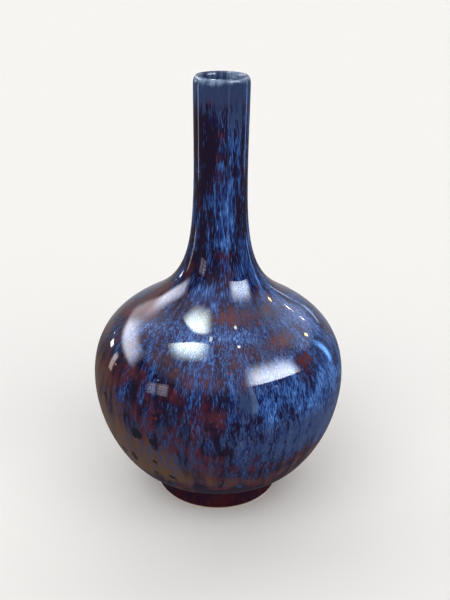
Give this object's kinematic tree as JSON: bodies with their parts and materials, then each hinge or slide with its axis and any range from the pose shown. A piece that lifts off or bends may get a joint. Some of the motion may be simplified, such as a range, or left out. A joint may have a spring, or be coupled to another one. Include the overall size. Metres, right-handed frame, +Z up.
{
  "type": "vase",
  "caption": "Long-necked glazed ceramic bottle vase with a round belly and a straight foot ring, open at the mouth, for flowers or display.",
  "frame": {"origin": "middle of the face that the foot ring rests on", "axes": "+Z up along the axis that the vase is turned round; +X to the picture's right, and -Y towards its camera"},
  "size_m": [0.225, 0.225, 0.38],
  "materials": {
    "streaked_glaze": "high gloss, blue over oxblood",
    "lining_glaze": "gloss, pale grey blue",
    "foot_wash": "satin, thin brown wash",
    "bare_clay": "matt, unglazed",
    "fired_body": "matt, under the glaze",
    "slip": "matt, under the glaze"
  },
  "bodies": {
    "root": {"foot_ring": "bare_clay", "lower_belly": "fired_body", "upper_belly": "fired_body", "neck": "fired_body", "foot_lute": "slip", "belly_lute": "slip", "neck_lute": "slip", "outside_glaze": "streaked_glaze", "inside_glaze": "lining_glaze", "recess_glaze": "foot_wash"}
  },
  "joints": []
}
